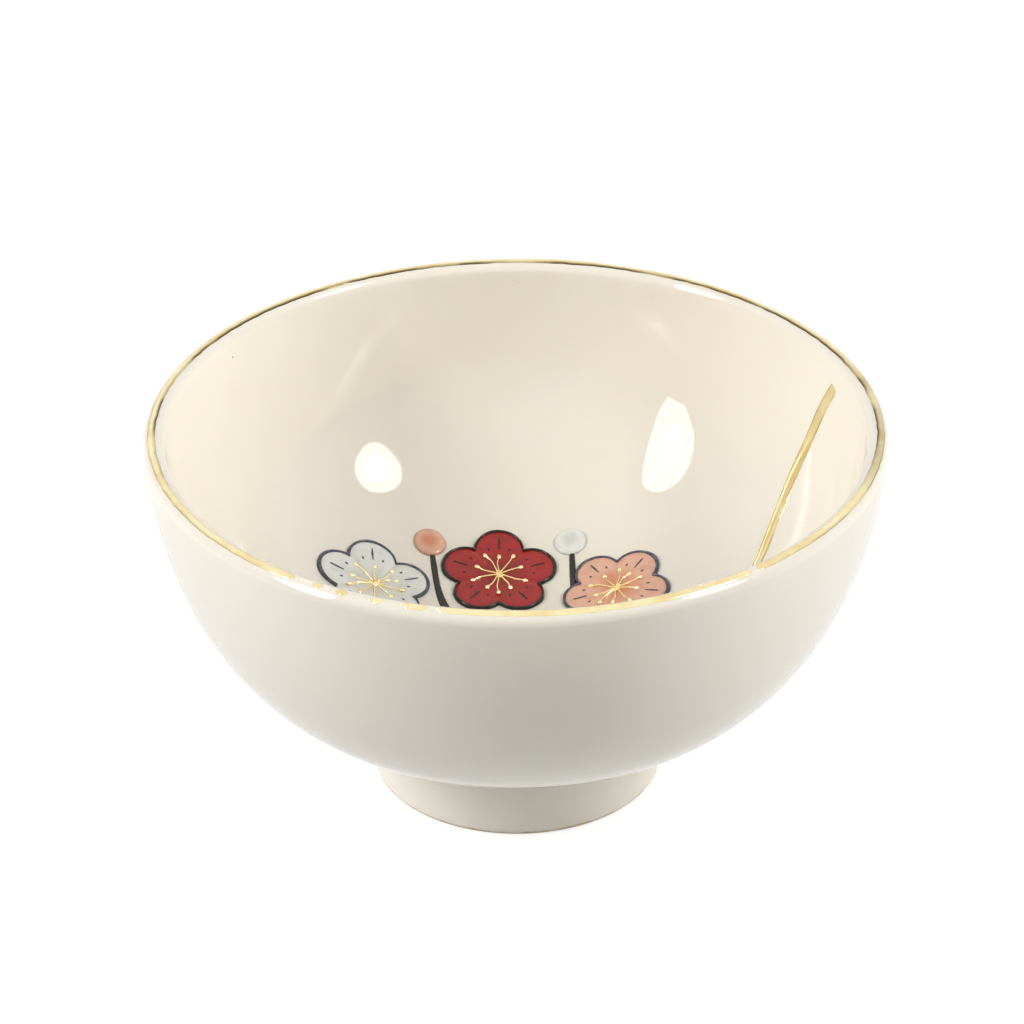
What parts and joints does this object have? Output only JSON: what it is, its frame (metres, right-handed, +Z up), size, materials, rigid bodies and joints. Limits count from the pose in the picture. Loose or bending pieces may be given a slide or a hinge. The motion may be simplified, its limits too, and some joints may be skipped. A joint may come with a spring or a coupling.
{
  "type": "sake cup",
  "caption": "Small round porcelain sake cup on a tall foot ring, with a gilt lip line, a gilt stripe inside and a blossom spray in raised enamels on the inner floor.",
  "frame": {"origin": "on the cup's axis, in the plane that the foot ring stands on", "axes": "+Z up along the cup's axis, +Y from the drinker's side to the far side, +X to the right"},
  "size_m": [0.06, 0.06, 0.0319],
  "materials": {
    "glaze": "clear ivory glaze, high gloss",
    "foot": "clear ivory glaze, with a bare biscuit standing edge",
    "gold": "burnished overglaze gold, a little worn",
    "black_enamel": "glossy overglaze enamel",
    "white_enamel": "glossy raised overglaze enamel",
    "red_enamel": "glossy raised overglaze enamel",
    "peach_enamel": "glossy raised overglaze enamel"
  },
  "bodies": {
    "root": {"bowl": "glaze", "foot_ring": "foot", "lip_gilding": "gold", "wall_gilt_stripe": "gold", "plum_branch": "black_enamel", "white_blossom": "white_enamel", "white_blossom_stamens": "gold", "red_blossom": "red_enamel", "red_blossom_stamens": "gold", "peach_blossom": "peach_enamel", "peach_blossom_stamens": "gold", "near_peach_blossom": "peach_enamel", "near_peach_blossom_stamens": "gold", "near_white_blossom": "white_enamel", "near_white_blossom_stamens": "gold", "white_bud": "white_enamel", "peach_bud": "peach_enamel", "red_bud": "red_enamel"}
  },
  "joints": []
}
